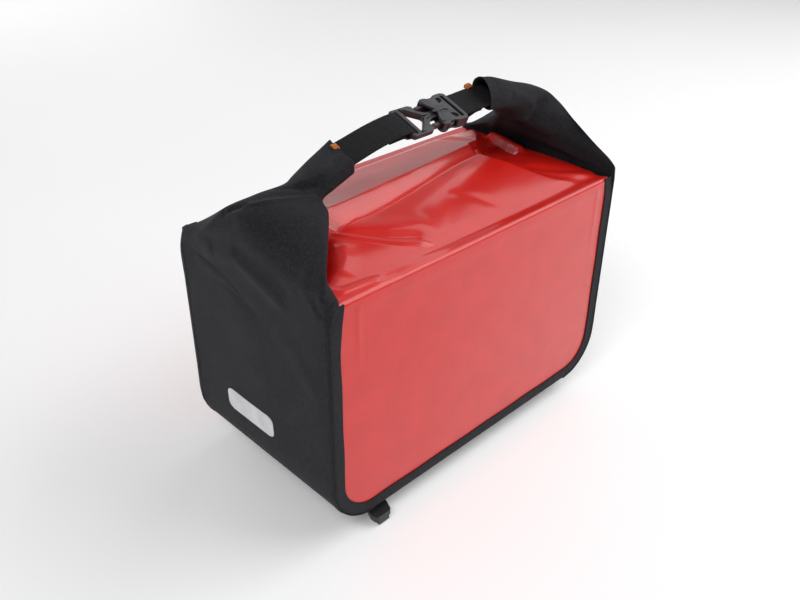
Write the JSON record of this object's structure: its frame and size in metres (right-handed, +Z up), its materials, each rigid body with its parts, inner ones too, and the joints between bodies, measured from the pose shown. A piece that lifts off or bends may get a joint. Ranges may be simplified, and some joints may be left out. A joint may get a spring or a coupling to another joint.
{
  "type": "pannier bag",
  "caption": "Roll-top rack bag with stiffened red panels, black folded side gussets, a carrying strap with a side-release buckle, and a slide-on rack adapter with a release latch.",
  "frame": {"origin": "centre of the rack adapter's underside, where it rests on the rack", "axes": "+Z up, +X along the bag from the male to the female half of the buckle, -Y the front face with the latch tab"},
  "size_m": [0.3308, 0.182, 0.3038],
  "materials": {
    "red_tarpaulin": "glossy coated tarpaulin",
    "edging_fabric": "matt coated weave",
    "black_fabric": "matt coated weave",
    "strap_webbing": "ribbed webbing",
    "orange_tape": "woven tape",
    "buckle_plastic": "satin moulded",
    "adapter_plastic": "fine texture",
    "board_plastic": "smooth sheet",
    "plate_aluminium": "mill",
    "screw_steel": "zinc plated",
    "reflective_film": "retroreflective film"
  },
  "bodies": {
    "root": {"front_panel": "red_tarpaulin", "back_panel": "red_tarpaulin", "closure_roll": "red_tarpaulin", "front_edging": "edging_fabric", "back_edging": "edging_fabric", "left_gusset": "black_fabric", "right_gusset": "black_fabric", "base_panel": "black_fabric", "left_ear": "black_fabric", "right_ear": "black_fabric", "front_board": "board_plastic", "back_board": "board_plastic", "floor_board": "board_plastic", "front_mouth_strip": "board_plastic", "back_mouth_strip": "board_plastic", "backing_plate": "plate_aluminium", "adapter_plate": "adapter_plastic", "adapter_screws": "screw_steel", "adapter_washers": "screw_steel", "adapter_nuts": "screw_steel", "latch_pivot": "screw_steel", "latch_spring": "screw_steel", "left_strap": "strap_webbing", "right_strap": "strap_webbing", "left_anchor_tape": "orange_tape", "right_anchor_tape": "orange_tape", "buckle_female": "buckle_plastic", "left_reflector": "reflective_film", "right_reflector": "reflective_film"},
    "buckle_male_half": {"buckle_male": "buckle_plastic"},
    "arm_front": {"buckle_arm_front": "buckle_plastic"},
    "arm_back": {"buckle_arm_back": "buckle_plastic"},
    "latch": {"latch_lever": "adapter_plastic"}
  },
  "joints": [
    {"name": "buckle_unclip", "type": "slide", "parent": "root", "child": "buckle_male_half", "axis": [-1, 0, 0], "range_m": [0, 0.03], "deforming": ["left_strap", "buckle_arm_front", "buckle_arm_back"]},
    {"name": "arm_front_pinch", "type": "hinge", "parent": "buckle_male_half", "child": "arm_front", "pos_m": [0.012, -0.01027, 0.27706], "axis": [0, -0.3584, 0.9336], "range_deg": [0, 8], "stiffness_Nm_per_rad": 0.05},
    {"name": "arm_back_pinch", "type": "hinge", "parent": "buckle_male_half", "child": "arm_back", "pos_m": [0.012, 0.01027, 0.28494], "axis": [0, -0.3584, 0.9336], "range_deg": [-8, 0], "stiffness_Nm_per_rad": 0.05},
    {"name": "latch_release", "type": "hinge", "parent": "root", "child": "latch", "pos_m": [-0.1, -0.042, 0.007], "axis": [0, 0, 1], "range_deg": [-14, 0], "stiffness_Nm_per_rad": 0.3, "springref_deg": 2.86, "deforming": ["latch_spring"]}
  ],
  "couplings": [
    {"joint": "arm_back_pinch", "follows": "arm_front_pinch", "ratio": -1}
  ]
}
